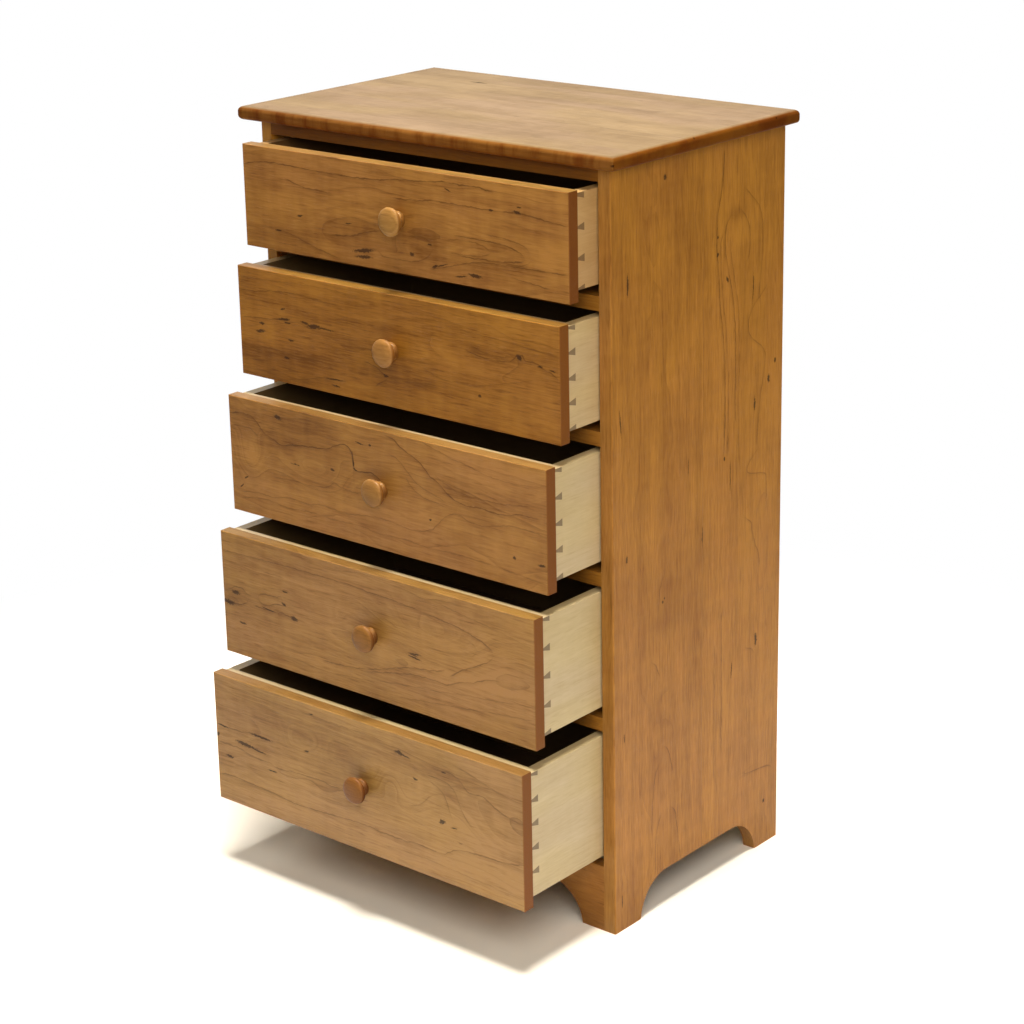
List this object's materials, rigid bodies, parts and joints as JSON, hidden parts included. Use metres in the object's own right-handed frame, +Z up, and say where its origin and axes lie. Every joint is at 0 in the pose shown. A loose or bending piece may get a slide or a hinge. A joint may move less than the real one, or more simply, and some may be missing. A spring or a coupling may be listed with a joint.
{
  "type": "dresser",
  "caption": "Tall wooden chest of drawers with bracket feet, turned knobs and inset drawers with dovetailed boxes that slide on concealed runners.",
  "frame": {"origin": "on the floor, under the middle of the box round the whole chest as it stands with its drawers part open", "axes": "+X to the right as seen from the front, +Y to the back, +Z up"},
  "size_m": [0.75, 0.6586, 1.232],
  "materials": {
    "cherry": "oiled cherry, satin",
    "maple": "clear maple, satin",
    "birch_ply": "clear birch plywood, satin",
    "zinc_steel": "zinc plated, satin"
  },
  "bodies": {
    "case": {"right_side": "cherry", "left_side": "cherry", "top": "cherry", "divider_1": "cherry", "divider_2": "cherry", "divider_3": "cherry", "divider_4": "cherry", "top_front_rail": "cherry", "top_rear_rail": "maple", "front_apron": "cherry", "rear_bottom_rail": "maple", "back_panel": "birch_ply", "glue_blocks": "maple", "case_runners": "zinc_steel", "top_screws": "zinc_steel"},
    "drawer_1": {"drawer_1_front": "cherry", "drawer_1_knob": "cherry", "drawer_1_box_front": "maple", "drawer_1_box_left": "maple", "drawer_1_box_right": "maple", "drawer_1_box_back": "maple", "drawer_1_bottom": "birch_ply", "drawer_1_runners": "zinc_steel", "drawer_1_screws": "zinc_steel"},
    "drawer_2": {"drawer_2_front": "cherry", "drawer_2_knob": "cherry", "drawer_2_box_front": "maple", "drawer_2_box_left": "maple", "drawer_2_box_right": "maple", "drawer_2_box_back": "maple", "drawer_2_bottom": "birch_ply", "drawer_2_runners": "zinc_steel", "drawer_2_screws": "zinc_steel"},
    "drawer_3": {"drawer_3_front": "cherry", "drawer_3_knob": "cherry", "drawer_3_box_front": "maple", "drawer_3_box_left": "maple", "drawer_3_box_right": "maple", "drawer_3_box_back": "maple", "drawer_3_bottom": "birch_ply", "drawer_3_runners": "zinc_steel", "drawer_3_screws": "zinc_steel"},
    "drawer_4": {"drawer_4_front": "cherry", "drawer_4_knob": "cherry", "drawer_4_box_front": "maple", "drawer_4_box_left": "maple", "drawer_4_box_right": "maple", "drawer_4_box_back": "maple", "drawer_4_bottom": "birch_ply", "drawer_4_runners": "zinc_steel", "drawer_4_screws": "zinc_steel"},
    "drawer_5": {"drawer_5_front": "cherry", "drawer_5_knob": "cherry", "drawer_5_box_front": "maple", "drawer_5_box_left": "maple", "drawer_5_box_right": "maple", "drawer_5_box_back": "maple", "drawer_5_bottom": "birch_ply", "drawer_5_runners": "zinc_steel", "drawer_5_screws": "zinc_steel"}
  },
  "joints": [
    {"name": "drawer_1_slide", "type": "slide", "parent": "case", "child": "drawer_1", "axis": [0, -1, 0], "range_m": [-0.06615, 0.24885]},
    {"name": "drawer_2_slide", "type": "slide", "parent": "case", "child": "drawer_2", "axis": [0, -1, 0], "range_m": [-0.08977, 0.22523]},
    {"name": "drawer_3_slide", "type": "slide", "parent": "case", "child": "drawer_3", "axis": [0, -1, 0], "range_m": [-0.12442, 0.19057]},
    {"name": "drawer_4_slide", "type": "slide", "parent": "case", "child": "drawer_4", "axis": [0, -1, 0], "range_m": [-0.1575, 0.1575]},
    {"name": "drawer_5_slide", "type": "slide", "parent": "case", "child": "drawer_5", "axis": [0, -1, 0], "range_m": [-0.19057, 0.12443]}
  ]
}
